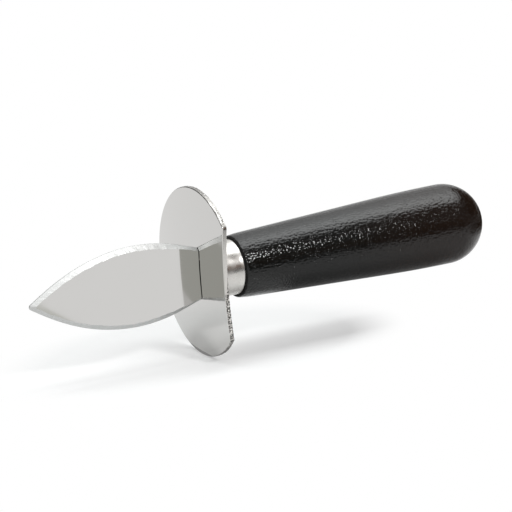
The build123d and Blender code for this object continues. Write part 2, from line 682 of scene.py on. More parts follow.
@dataclass(frozen=True)
class BlackLacquer(Finish):
    """Black lacquer over open-grained hardwood, dipped so thin that the pores still show.

    The eye sees deep black with a clear sheen, which the film's orange peel breaks into small bright dots,
    and a brown cast where the film is thinnest, towards the butt.

    Attributes:
        thin_from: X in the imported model's frame from which the film thins.
        thin_to: X at which it is thinnest.
        streak_reach: How far the streaks shift that, at most.
        pore_level: Where in their pattern the pores begin and end.
    """

    black: str = "#090A09"
    brown: str = "#130B07"
    roughness: tuple = (0.05, 0.09)
    ior: float = 1.42
    cloud_cell: tuple = (9.0, 4.0, 4.0)
    thin_from: float = 55.0
    thin_to: float = 100.0
    streak_cell: tuple = (30.0, 1.6, 1.6)
    streak_reach: float = 30.0
    pore_length: float = 0.9
    pore_width: float = 0.35
    pore_depth: float = 0.05
    pore_level: tuple = (0.26, 0.4)
    dome_size: float = 0.92
    dome_depth: float = 0.112
    dome_jitter: float = 0.85

    def look(self, tree: bpy.types.NodeTree) -> dict[str, object]:
        """Adds the lacquer's brown cast, pores and orange peel.

        Pores of such a wood are 0.1 to 0.3 mm wide and run along the handle. They are drawn 0.35 mm wide,
        since finer ones wouldn't show. The film's own orange peel is of domes about a millimetre across, each
        falling off as the square of the distance from its top, so that each mirrors the lamp once.

        Args:
            tree: The material's node tree.

        Returns:
            The inputs of its shader.
        """
        place = add_node(tree, "TexCoord").outputs["Object"]
        along = add_node(tree, "SeparateXYZ", (place,)).outputs["X"]
        streaks = cloudy(tree, self.streak_cell, 3.0)
        shifted = add_node(tree, "Math", (streaks, self.streak_reach * MM, along), operation="MULTIPLY_ADD")
        reach = self.thin_from * MM, self.thin_to * MM
        thin = add_node(tree, "MapRange", (shifted, *reach, 0.0, 1.0), **EASED)
        cast = {SHARE: thin, FIRST: to_linear(self.black), SECOND: to_linear(self.brown)}
        grain = cloudy(tree, (self.pore_length, self.pore_width, self.pore_width), 1.0)
        pores = add_node(tree, "MapRange", (grain, *self.pore_level, 0.0, 1.0), **EASED)
        cells = pattern_place(tree, (self.dome_size,) * 3)
        inputs = {"Vector": cells, "Scale": 1.0, "Randomness": self.dome_jitter}
        away = add_node(tree, "TexVoronoi", inputs, voronoi_dimensions="3D", feature="F1")
        fall = add_node(tree, "Math", (away, away), operation="MULTIPLY")
        domes = add_node(tree, "Math", (1.0, fall), operation="SUBTRACT")
        film = add_node(tree, "Bump", {"Height": domes, "Distance": self.dome_depth * MM})
        dips = {"Height": pores, "Distance": self.pore_depth * MM, "Normal": film}
        clouds = cloudy(tree, self.cloud_cell, 2.0)
        return {
            "Base Color": add_node(tree, "Mix", cast, **COLOURS).outputs[MIXED],
            "Roughness": add_node(tree, "MapRange", (clouds, *CLOUD_MIDDLE, *self.roughness), **EASED),
            "Normal": add_node(tree, "Bump", dips),
            "IOR": self.ior,
        }


@dataclass(frozen=True)
class StainedEndGrain(Finish):
    """The handle's cut front end, stained black and left without a gloss coat.

    The eye sees a flat black line between the bright ferrule and the lacquer.
    """

    colour: str = "#0D0C0C"
    roughness: tuple = (0.6, 0.8)
    ior: float = 1.4
    fibre_size: float = 0.5
    fibre_length: float = 3.0
    fibre_depth: float = 0.03

    def look(self, tree: bpy.types.NodeTree) -> dict[str, object]:
        """Adds the end grain's cut fibres, about half a millimetre apart.

        Args:
            tree: The material's node tree.

        Returns:
            The inputs of its shader.
        """
        fibres = cloudy(tree, (self.fibre_length, self.fibre_size, self.fibre_size), 2.0)
        return {
            "Base Color": to_linear(self.colour),
            "Roughness": add_node(tree, "MapRange", (fibres, *CLOUD_BODY, *self.roughness), **EASED),
            "Normal": add_node(tree, "Bump", {"Height": fibres, "Distance": self.fibre_depth * MM}),
            "IOR": self.ior,
        }


@dataclass(frozen=True)
class CastResin(Finish):
    """Cured epoxy, poured round the tang.

    The eye would see a glossy amber body, cloudy with tiny bubbles. It lies inside the handle.
    """

    amber: str = "#B9A06A"
    dark_amber: str = "#8E7645"
    roughness: tuple = (0.25, 0.5)
    ior: float = 1.55
    bubble_size: float = 0.6
    bubble_depth: float = 0.05

    def look(self, tree: bpy.types.NodeTree) -> dict[str, object]:
        """Adds the resin's bubbles, about 0.6 mm across.

        Args:
            tree: The material's node tree.

        Returns:
            The inputs of its shader.
        """
        bubbles = cloudy(tree, (self.bubble_size,) * 3, 1.0)
        ambers = {SHARE: bubbles, FIRST: to_linear(self.amber), SECOND: to_linear(self.dark_amber)}
        return {
            "Base Color": add_node(tree, "Mix", ambers, **COLOURS).outputs[MIXED],
            "Roughness": add_node(tree, "MapRange", (bubbles, *CLOUD_BODY, *self.roughness), **EASED),
            "Normal": add_node(tree, "Bump", {"Height": bubbles, "Distance": self.bubble_depth * MM}),
            "IOR": self.ior,
        }


# The knife's pieces


def make_piece(
    name: str, surface: Surface, place: Place, finishes: tuple[Finish, ...]
) -> bpy.types.Object:
    """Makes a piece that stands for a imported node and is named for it.

    Args:
        name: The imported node's name.
        surface: The piece's surface.
        place: Where the knife lies.
        finishes: The piece's finishes, in the order of the regions.

    Returns:
        The piece.
    """
    piece = add_object(f"{name}_finish", surface.mesh(f"{name}_finish", place))
    for finish in finishes:
        piece.data.materials.append(finish.material())
    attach(piece, "root")
    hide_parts(name)
    return piece


@dataclass(frozen=True)
class Guard:
    """The stamped round plate, domed towards the blade, with one side cut straight and a slot for the tang.

    Attributes:
        corner_reach: Over what distance the corners between the arc and the straight side are eased.
        roll: Radius of the front edge, which the punch drew over.
        tear_recess: How far the torn metal lies in from the outline.
        tear_depth: How rough it is.
        tear_border: Over what share of the thickness the land turns to torn metal.
        tear_onset: At what torn share of the thickness the tear is fully there.
        crumbs: The torn metal's lumps.
        border: How the land's border wanders, as a share of the thickness.
        burr: How far the burr stands out behind the plate.
        burr_lumps: How the burr's height varies along it.
        burr_rows: How far in from the edge the burr's rings lie, and their shares of its height.
        arc_share: How much of the thickness is torn along the arc.
        arc_tear: How torn the metal looks there.
        line_tear: How much of the thickness is torn along the narrow line on the straight side.
        line_top: The height above the axis from which that line runs down.
        line_ease: Over what height it sets in.
        tear_top: The height above the axis from which the straight side tears.
        tear_ease: Over what height it comes to be torn through.
        side_reach: How far before the straight side's ends its own edge sets in.
        side_ease: Over what distance it does so.
        drawn_tear: The torn share from which the rolled edge tears as well, and the range of its onset.
        drawn_turn: The turn of the rolled edge over which that tear sets in, in radians.
        columns: How many rays the plate has.
        roll_rows: How many rings the rolled edge has.
        edge_rows: How many rings the edge has.
        plain_rolls: How many of the rolled edge's rings keep the face's finish.
        wall_rows: Shares of the way through the slot, from the back, at which its wall has rings.
    """

    diameter: float = 55.6
    thickness: float = 1.4
    dome_radius: float = 225.0
    flat_depth: float = 7.1
    centre_back: float = 4.2
    centre_drop: float = 0.6
    slot_width: float = 3.2
    slot_length: float = 9.5
    corner_reach: float = 0.5
    roll: float = 0.36
    tear_recess: float = 0.1
    tear_depth: float = 0.08
    tear_border: float = 0.12
    tear_onset: float = 0.2
    crumbs: tuple = (Noise((0.4, 0.3), 11), Noise((0.8, 0.5), 12, 0.8))
    border: Noise = Noise((1.1, 3.0), 14, 0.08)
    burr: float = 0.07
    burr_lumps: Noise = Noise((0.6, 1.0), 13, 0.5)
    burr_rows: tuple = ((0.07, 0.16), (0.6, 0.0))
    arc_share: float = 0.82
    arc_tear: float = 0.55
    line_tear: float = 0.12
    line_top: float = 9.0
    line_ease: float = 5.0
    tear_top: float = 2.0
    tear_ease: float = 8.0
    side_reach: float = 0.6
    side_ease: float = 0.3
    drawn_tear: tuple = (0.7, 0.25)
    drawn_turn: float = 0.9
    columns: int = 900
    roll_rows: int = 6
    edge_rows: int = 12
    plain_rolls: int = 2
    wall_rows: tuple = (0.33, 0.67, 1.0)

    @property
    def side(self) -> float:
        """Distance from the knife's axis to the straight side."""
        return self.diameter / 2 - self.centre_back - self.flat_depth

    def front(self, distance: np.ndarray) -> np.ndarray:
        """X of the domed front at a distance from the knife's axis, R - sqrt(R^2 - d^2)."""
        return self.dome_radius - np.sqrt(self.dome_radius**2 - distance**2)

    def back(self, distance: np.ndarray) -> np.ndarray:
        """X of the hollow back at a distance from the knife's axis, R - sqrt((R - t)^2 - d^2)."""
        return self.dome_radius - np.sqrt((self.dome_radius - self.thickness) ** 2 - distance**2)

    def outline(self, angle: np.ndarray) -> np.ndarray:
        """Distance from the knife's axis to the plate's outline.

        A ray at the angle leaves the circle at p + sqrt(p^2 - q), with p the centre's share of the ray's
        direction and q the centre's distance squared less the radius squared. It leaves the straight side
        where its Y reaches the side, and one that runs away from the side is held at four radii. The nearer
        of the two holds, and the corner between them is eased over a reach.

        Args:
            angle: Angles from the Y axis towards the Z axis.

        Returns:
            The distances.
        """
        radius = self.diameter / 2
        along = self.centre_back * np.cos(angle) - self.centre_drop * np.sin(angle)
        spread = self.centre_back**2 + self.centre_drop**2 - radius**2
        circle = along + np.sqrt(along**2 - spread)
        towards = np.maximum(-np.cos(angle), LEAST)
        straight_side = np.minimum(self.side / towards, 4 * radius)
        gap = np.abs(circle - straight_side)
        eased = np.maximum(self.corner_reach - gap, 0) ** 2 / (4 * self.corner_reach)
        return np.minimum(circle, straight_side) - eased

    def slot(self, angle: np.ndarray) -> np.ndarray:
        """Distance from the knife's axis to the slot's wall, the nearer of its side and its end.

        Args:
            angle: Angles from the Y axis towards the Z axis.

        Returns:
            The distances.
        """
        side = self.slot_width / 2 / np.maximum(np.abs(np.cos(angle)), LEAST)
        end = self.slot_length / 2 / np.maximum(np.abs(np.sin(angle)), LEAST)
        return np.minimum(side, end)

    def surface(self) -> Surface:
        """Works out the plate as rings round the knife's axis.

        One ring of values runs from the slot over the front, the rolled edge, the burnished and torn edge,
        the burr, the back and the slot's wall to where it started. A point lies at a distance d from the axis
        at the ring's angle, at (x, d cos a, d sin a).

        Going down the edge, the metal turns from burnished to torn where the share of the thickness passes
        one less the torn share, eased over a border. Torn metal lies in by the recess and the crumbs, and
        the burr's height is its depth times its lumps' noise.

        Returns:
            The surface, with the torn share of each point.
        """
        even = np.linspace(0, TURN, 4 * self.columns)
        reach = self.outline(even)
        shares = np.linspace(0, 1, self.columns + 1)
        path = spaced(np.stack([reach * np.cos(even), reach * np.sin(even)], axis=1), shares)
        angle = np.arctan2(path[:, 1], path[:, 0])[:, None]
        around = shares[:, None] * TURN * self.diameter / 2
        outer, inner = self.outline(angle), self.slot(angle)
        torn_share = self.torn_share(angle, outer)

        front_distance = inner + (outer - self.roll - inner) * FACE_ROWS
        front_x = self.front(front_distance)
        turn = np.linspace(0, math.pi / 2, self.roll_rows + 1)[1:]
        roll_distance = outer - self.roll * (1 - np.sin(turn))
        roll_x = self.front(outer - self.roll) + self.roll * (1 - np.cos(turn))

        down = np.linspace(0, 1, self.edge_rows + 1)[1:]
        edge_start = self.front(outer - self.roll) + self.roll
        edge_x = edge_start + (self.back(outer) - edge_start) * down
        torn = smooth_step((down - (1 - torn_share)) / self.tear_border)
        torn = torn * smooth_step(torn_share / self.tear_onset)
        lumps = self.tear_depth * layered(self.crumbs, around, edge_x)
        edge_distance = outer - torn * (self.tear_recess + lumps)
        ragged = self.burr_lumps.height + self.burr_lumps.at(around, edge_x[:, -1:])
        edge_x[:, -1:] += self.burr * ragged
        burr_in, burr_height = np.array(self.burr_rows)
        burr_distance = edge_distance[:, -1:] - burr_in
        burr_x = self.back(burr_distance) + burr_height * self.burr * ragged

        back_distance = inner + (burr_distance[:, -1:] - inner) * FACE_ROWS[::-1][1:]
        back_x = self.back(back_distance)
        wall_distance = np.repeat(inner, len(self.wall_rows), axis=1)
        wall_x = self.back(inner) + (self.front(inner) - self.back(inner)) * np.array(self.wall_rows)

        distance = np.hstack(
            [front_distance, roll_distance, edge_distance, burr_distance, back_distance, wall_distance]
        )
        height = np.hstack([front_x, roll_x, edge_x, burr_x, back_x, wall_x])
        points = np.stack([height, distance * np.cos(angle), distance * np.sin(angle)], axis=-1)

        roll_from = front_x.shape[1]
        edge_from = roll_from + self.roll_rows
        burr_from = edge_from + self.edge_rows
        back_from = burr_from + burr_x.shape[1]
        region = np.full((points.shape[0] - 1, points.shape[1] - 1), Region.FACE.value)
        region[:, roll_from + self.plain_rolls : back_from] = Region.WORKED.value
        drawn, drawn_ease = self.drawn_tear
        rougher = (1 - self.arc_tear) * self.on_side(angle, outer)
        roughly = self.arc_tear + rougher * self.side_tear(angle, outer)
        tear = np.zeros(points.shape[:2])
        tear[:, roll_from:edge_from] = smooth_step((torn_share - drawn) / drawn_ease)
        tear[:, roll_from:edge_from] *= smooth_step(turn / self.drawn_turn)
        tear[:, edge_from:burr_from] = torn * roughly
        tear[:, back_from : back_from + 1] = torn[:, -1:] * roughly
        return Surface(points, region, {"torn": tear})

    def torn_share(self, angle: np.ndarray, outer: np.ndarray) -> np.ndarray:
        """How much of the edge's thickness is torn rather than burnished.

        The punch sat closer to its die at the straight side's upper half, which came out burnished, and tore
        nearly all of the lower half. The arc is torn over some four fifths of its thickness, and less
        roughly.

        Args:
            angle: Angles from the Y axis towards the Z axis.
            outer: Distances to the outline.

        Returns:
            Shares from 0 to 1.
        """
        on_side = self.on_side(angle, outer)
        ragged = self.border.at(outer * np.sin(angle), outer * np.cos(angle))
        return np.clip(on_side * self.side_tear(angle, outer) + (1 - on_side) * self.arc_share + ragged, 0, 1)

    def side_tear(self, angle: np.ndarray, outer: np.ndarray) -> np.ndarray:
        """How far the straight side is torn: a line from above the axis, and all of it lower down.

        Each of the two sets in with the way down from its top, eased over its own height.

        Args:
            angle: Angles from the Y axis towards the Z axis.
            outer: Distances to the outline.

        Returns:
            Shares from 0 to 1.
        """
        height = outer * np.sin(angle)
        line = smooth_step((self.line_top - height) / self.line_ease)
        full = smooth_step((self.tear_top - height) / self.tear_ease)
        return self.line_tear * line + (1 - self.line_tear) * full

    def on_side(self, angle: np.ndarray, outer: np.ndarray) -> np.ndarray:
        """One where the outline runs along the straight side and zero along the arc, eased by its Y."""
        return smooth_step((-outer * np.cos(angle) - self.side + self.side_reach) / self.side_ease)

    def make(self, place: Place) -> bpy.types.Object:
        """Makes the guard, with buffed faces and an edge as punched.

        Args:
            place: Where the knife lies.

        Returns:
            The piece.
        """
        sheet = SatinStainless("buffed_stainless_sheet", colour="#C9C8C6")
        edge = PunchedStainless("punched_stainless_edge")
        return make_piece("guard", self.surface(), place, (sheet, edge))


@dataclass(frozen=True)
class Blade:
    """The leaf with its coarse ground bevels, and the tang that runs on into the handle.

    Attributes:
        length_shares: Where the leaf's stations lie, as shares of its length from the tip.
        width_shares: Their shares of the half width.
        tang_places: Where the tang has rings before it starts to be pointed.
        lower_bevel_share: The lower bevels' width as a share of the upper ones'.
        ragged: How far the bevels' inner borders wander.
        wander_above: How the upper border wanders.
        wander_below: How the lower border wanders.
        wander_reach: Over what distance from the tip the wandering sets in.
        ridge: How far the lower bevels stand up along their inner borders.
        ridge_gaps: The less it is, the more of the ridge is missing where the border wanders in.
        grind_depth: How deep the bevels' chips are.
        chips: How the chips are strewn.
        chip_station: The station whose girth the chips are measured along.
        tip_reach: Over what distance from the tip the chips set in.
        root_reach: Over what distance they fade before the root.
        root_gap: How far the shoulder's broken edge stays off the guard.
        root_seat: How far in from the faces the shoulder meets the guard.
        stations: How many rings the leaf has.
        crowding: The power of the rings' spacing, which crowds them towards the tip.
        nose_points: How many points the tip's arc has.
        side_points: How many points the spline has.
        bevel_rows: How many rings of points a bevel has.
        rim_rows: How many the edge's thickness has between the bevels.
    """

    guard: Guard
    length: float = 59.5
    width: float = 26.4
    root_width: float = 17.2
    thickness: float = 2.4
    edge_thickness: float = 0.5
    bevel_width: float = 1.6
    bevel_root_width: float = 0.9
    tip_radius: float = 1.0
    tip_half_angle: float = 33.0
    root_taper_angle: float = 18.0
    bevel_tip_setback: float = 2.0
    bevel_tip_radius: float = 0.5
    tang_width: float = 8.9
    tang_end_width: float = 5.0
    tang_length: float = 60.0
    tang_point_length: float = 4.0
    tang_places: tuple = (0, 2.5, 20, 40)
    length_shares: tuple = (0.25, 0.45, 0.65, 0.82)
    width_shares: tuple = (0.66, 0.93, 1.0, 0.9)
    lower_bevel_share: float = 0.95
    ragged: float = 0.1
    wander_above: tuple = (Noise((1.3, 1.0), 21), Noise((0.5, 1.0), 22, 0.5))
    wander_below: tuple = (Noise((1.3, 1.0), 23), Noise((0.5, 1.0), 24, 0.5))
    wander_reach: float = 3.0
    ridge: float = 0.03
    ridge_gaps: float = 0.75
    grind_depth: float = 0.014
    chips: tuple = (Noise((0.45, 0.8), 25), Noise((0.22, 0.4), 26, 0.7))
    chip_station: int = 200
    tip_reach: float = 1.0
    root_reach: float = 0.5
    root_gap: float = 0.18
    root_seat: float = 0.5
    stations: int = 440
    crowding: float = 1.2
    nose_points: int = 40
    side_points: int = 1500
    bevel_rows: int = 11
    rim_rows: int = 2

    @property
    def tang_share(self) -> float:
        """The tang's width as a share of the leaf's face at the root."""
        return self.tang_width / (self.root_width - 2 * self.bevel_root_width)

    @property
    def face_shares(self) -> np.ndarray:
        """Shares of the face's half height at its points, which lie closest together at the bevel."""
        beside = np.linspace(self.tang_share, 1, 7)[1:-1]
        return np.concatenate([np.linspace(0, self.tang_share, 4), beside, [0.975, 0.988, 1]])

    @property
    def along(self) -> np.ndarray:
        """How far along the leaf its stations count as lying where noise and fades are worked out."""
        return np.linspace(0, self.length, self.stations)

    def outline(self, setback: float, round_radius: float, inset: float, root_inset: float) -> np.ndarray:
        """The upper half of one outline of the leaf, from the tip to the root.

        A small arc at the tip is followed by a spline through the leaf's stations. The rings lie along both
        at their shares of the whole length, raised to the crowding.

        Args:
            setback: How far behind the blade's tip the outline starts.
            round_radius: The tip arc's radius.
            inset: How far inside the edge the outline passes the stations.
            root_inset: How far inside the edge it reaches the root.

        Returns:
            X and Z, one row for each of the blade's rings.
        """
        angle, taper = math.radians(self.tip_half_angle), math.radians(self.root_taper_angle)
        centre = (setback - self.length + round_radius, 0.0)
        nose = arc(centre, round_radius, math.pi, math.pi / 2 + angle, self.nose_points)
        along = self.length * (np.array(self.length_shares) - 1)
        up = self.width / 2 * np.array(self.width_shares) - inset
        root = [[0, self.root_width / 2 - root_inset]]
        through = np.vstack([nose[-1:], np.stack([along, up], axis=1), root])
        start, end = (math.cos(angle), math.sin(angle)), (math.cos(taper), -math.sin(taper))
        side = clamped_spline(through, start, end, self.side_points)
        return spaced(np.vstack([nose, side[1:]]), np.linspace(0, 1, self.stations) ** self.crowding)

    def half_rings(
        self, sharp: np.ndarray, faces: np.ndarray, wandering: np.ndarray, ridge: float
    ) -> np.ndarray:
        """The upper half of every ring, from the far face's middle over the edge to the near face's.

        The face is level out to the bevel's border, which wanders. From there a straight slope leads to the
        sharp outline, a little higher at first by the ridge, and the rim crosses the edge's thickness.

        Args:
            sharp: The edge's outline.
            faces: The faces' outline.
            wandering: How the bevel's border wanders at each station.
            ridge: How far the bevels stand up along their inner borders.

        Returns:
            The half rings, stations by points by three.
        """
        face, edge = self.thickness / 2, self.edge_thickness / 2
        fade = smooth_step(self.along / self.wander_reach)
        share = self.face_shares
        bevel = np.linspace(0, 1, self.bevel_rows + 1)[1:]
        rim = np.linspace(0, 1, self.rim_rows + 2)[1:-1]
        inner = faces.copy()
        inner[:, 1] = np.maximum(faces[:, 1] + self.ragged * wandering * fade, 0)
        inner[0, 1] = 0
        x_face, z_face = np.repeat(inner[:, :1], len(share), axis=1), inner[:, 1:] * share
        x_bevel = inner[:, :1] + (sharp[:, :1] - inner[:, :1]) * bevel
        z_bevel = inner[:, 1:] + (sharp[:, 1:] - inner[:, 1:]) * bevel
        x_rim, z_rim = (np.repeat(line, len(rim), axis=1) for line in (sharp[:, :1], sharp[:, 1:]))
        y_face = np.full(z_face.shape, face)
        y_face[:, -1] += ridge * fade * smooth_step(self.ridge_gaps + wandering)
        y_bevel = face + (edge - face) * bevel + (y_face[:, -1:] - face) * (1 - bevel)
        y_rim = np.broadcast_to(edge - 2 * edge * rim, z_rim.shape)
        x = np.hstack([x_face, x_bevel, x_rim, x_bevel[:, ::-1], x_face[:, ::-1]])
        y = np.hstack([y_face, y_bevel, y_rim, -y_bevel[:, ::-1], -y_face])
        z = np.hstack([z_face, z_bevel, z_rim, z_bevel[:, ::-1], z_face[:, ::-1]])
        return np.stack([x, y, z], axis=-1)

    def surface(self) -> Surface:
        """Works out the leaf and the tang as one closed skin.

        Every station is a ring of points from the middle of the far face over the upper edge to the middle of
        the near face, and back along the mirrored lower edge. Chips raise and sink the bevels along their
        normals. Past the root the rings shrink to the tang's.

        Returns:
            The surface.
        """
        sharp = self.outline(0, self.tip_radius, 0, 0)
        tip = self.bevel_tip_setback, self.bevel_tip_radius
        widths = self.bevel_width, self.bevel_root_width
        upper_faces, lower_faces = (
            self.outline(*tip, *(kept * width for width in widths)) for kept in (1.0, self.lower_bevel_share)
        )
        along = self.along
        above, below = (
            layered(layers, along, np.zeros(1)) for layers in (self.wander_above, self.wander_below)
        )
        upper = self.half_rings(sharp, upper_faces, above, 0.0)
        lower = self.half_rings(sharp, lower_faces, below, self.ridge)
        lower[..., 2] *= -1
        leaf = np.concatenate([upper, lower[:, ::-1][:, 1:]], axis=1)
        half_count, flat = upper.shape[1], len(self.face_shares)
        ground_half = np.zeros(half_count)
        ground_half[flat : half_count - flat] = 1
        ground = np.concatenate([ground_half, ground_half[::-1][1:]])

        girth = leaf[self.chip_station]
        across = np.cumsum(np.linalg.norm(np.diff(girth, axis=0, prepend=girth[:1]), axis=1))
        chips = layered(self.chips, along[:, None], across)
        ends = smooth_step(along / self.tip_reach) * smooth_step((self.length - along) / self.root_reach)
        leaf += grid_normals(leaf) * (self.grind_depth / 2 * chips * ground * ends[:, None])[..., None]
        leaf[-1, :, 0] = self.guard.front(np.hypot(leaf[-1, :, 1], leaf[-1, :, 2])) - self.root_gap

        points = np.concatenate([leaf, self.tang_rings(leaf[-1], half_count)], axis=0)
        region = np.full((points.shape[0] - 1, points.shape[1] - 1), Region.FACE.value)
        region[: self.stations - 1, (ground[1:] + ground[:-1]) > 0] = Region.WORKED.value
        return Surface(points, region)

    def tang_rings(self, root: np.ndarray, half_count: int) -> np.ndarray:
        """The seat ring on the guard and the tang's rings, whose straight sides taper to a blunt point.

        The points that lie on the leaf's face inside the tang's width stay on the tang's face. The others
        spread over the tang's side wall, and in the seat ring they lie in from the face, so that the
        shoulder's broken edge leaves a fine groove at the guard.

        Args:
            root: The leaf's last ring.
            half_count: How many points make the upper half of a ring.

        Returns:
            The rings.
        """
        inside = int(np.sum(self.face_shares <= self.tang_share + LEAST))
        wall = half_count - 2 * inside
        face = self.thickness / 2
        high = np.concatenate([np.linspace(0, 1, inside), np.ones(wall), np.linspace(1, 0, inside)])
        through = np.linspace(face, -face, wall + 2)[1:-1]
        deep = np.concatenate([np.full(inside, face), through, np.full(inside, -face)])
        ring_z = np.concatenate([high, -high[::-1][1:]])
        ring_y = np.concatenate([deep, deep[::-1][1:]])
        point_start = self.tang_length - self.tang_point_length
        places = np.array([*self.tang_places, point_start, self.tang_length])
        half_widths = self.tang_width / 2, self.tang_end_width / 2, 0
        half_width = np.interp(places, [0, point_start, self.tang_length], half_widths)
        sides = places[:, None], ring_y[None, :], half_width[:, None] * ring_z[None, :]
        rings = np.stack(np.broadcast_arrays(*sides), axis=-1).copy()
        seat = rings[0].copy()
        shoulder = np.abs(ring_y) < face - LEAST
        depth = np.maximum(np.abs(root[:, 1]) - self.root_seat, 0)
        seat[shoulder, 1] = (np.sign(root[:, 1]) * depth)[shoulder]
        seat[shoulder, 2] = root[shoulder, 2]
        rings = np.concatenate([seat[None], rings])
        rings[:2, :, 0] = self.guard.front(np.hypot(rings[:2, :, 1], rings[:2, :, 2]))
        return rings

    def make(self, place: Place) -> bpy.types.Object:
        """Makes the blade, with buffed faces and bevels as ground."""
        finishes = SatinStainless("buffed_stainless_strip"), BeltGroundStainless("belt_ground_stainless")
        return make_piece("blade", self.surface(), place, finishes)


@dataclass(frozen=True)
class Ferrule:
    """The polished tube between the guard and the handle's shoulder.

    Attributes:
        front_break: Radius of the front end's broken edge.
        rear_break: Radius of the rear end's.
        wave: How deep the waves of the outside are.
        waves: How the waves run round the tube and along it.
        flare: How far the rear end is opened.
        flare_length: Over what distance it is.
        skin: How deep below the outside the waves reach, and over what depth they fade there.
        front_rows: How many points the front end's broken edge has.
        body_rows: How many rings the outside has from one broken edge to the other.
        rear_rows: How many points the rear end's broken edge has.
        columns: How many points go round the tube.
    """

    guard: Guard
    diameter: float = 18.0
    wall: float = 0.8
    length: float = 10.8
    front_break: float = 0.15
    rear_break: float = 0.3
    wave: float = 0.02
    waves: tuple = (Noise((1.0, 4.5), 31, ring=12), Noise((1.0, 1.8), 32, 1.1, 36))
    flare: float = 0.1
    flare_length: float = 1.6
    skin: tuple = (0.05, 0.04)
    front_rows: int = 5
    body_rows: int = 48
    rear_rows: int = 7
    columns: int = 360

    @property
    def front(self) -> float:
        """X of the tube's front end, on the guard's back."""
        return float(self.guard.back(self.diameter / 2))

    @property
    def rear(self) -> float:
        """X of the tube's rear end, on the handle's shoulder."""
        return self.front + self.length

    def surface(self) -> Surface:
        """Turns the tube's wall about the axis.

        The outside carries shallow waves left by the drawing and the polishing wheel, and flares a little
        where the handle was driven in. Each radius is multiplied by one plus the share that both add to it.
        The flare is the lower half of an eased step, so it is steepest at the end.

        Returns:
            The surface.
        """
        outer, inner = self.diameter / 2, self.diameter / 2 - self.wall
        quarter = math.pi / 2
        front_centre = (self.front + self.front_break, outer - self.front_break)
        front_edge = arc(front_centre, self.front_break, 2 * quarter, quarter, self.front_rows)
        rear_centre = (self.rear - self.rear_break, outer - self.rear_break)
        rear_edge = arc(rear_centre, self.rear_break, quarter, 0, self.rear_rows)
        profile = np.vstack([
            straight((self.front, inner), front_edge[0], 4)[:-1],
            front_edge,
            straight(front_edge[-1], rear_edge[0], self.body_rows)[1:-1],
            rear_edge,
            straight(rear_edge[-1], (self.rear, inner), 4)[1:],
            straight((self.rear, inner), (self.front, inner), 6)[1:],
        ])
        angles = np.linspace(0, TURN, self.columns + 1)
        points = revolved(profile, angles)
        depth, fade = self.skin
        outside = smooth_step((profile[:, 1] - outer + depth) / fade)[:, None]
        flared = smooth_step((profile[:, 0] - self.rear + self.flare_length) / (2 * self.flare_length)) * 2
        waves = layered(self.waves, angles[None, :] / TURN, profile[:, :1])
        swell = 1 + outside * (self.wave * waves + self.flare * flared[:, None]) / outer
        points[..., 1:] *= swell[..., None]
        return Surface(points)

    def make(self, place: Place) -> bpy.types.Object:
        """Makes the ferrule, polished all over."""
        finishes = (PolishedTube("polished_stainless_tube"),)
        return make_piece("ferrule", self.surface(), place, finishes)


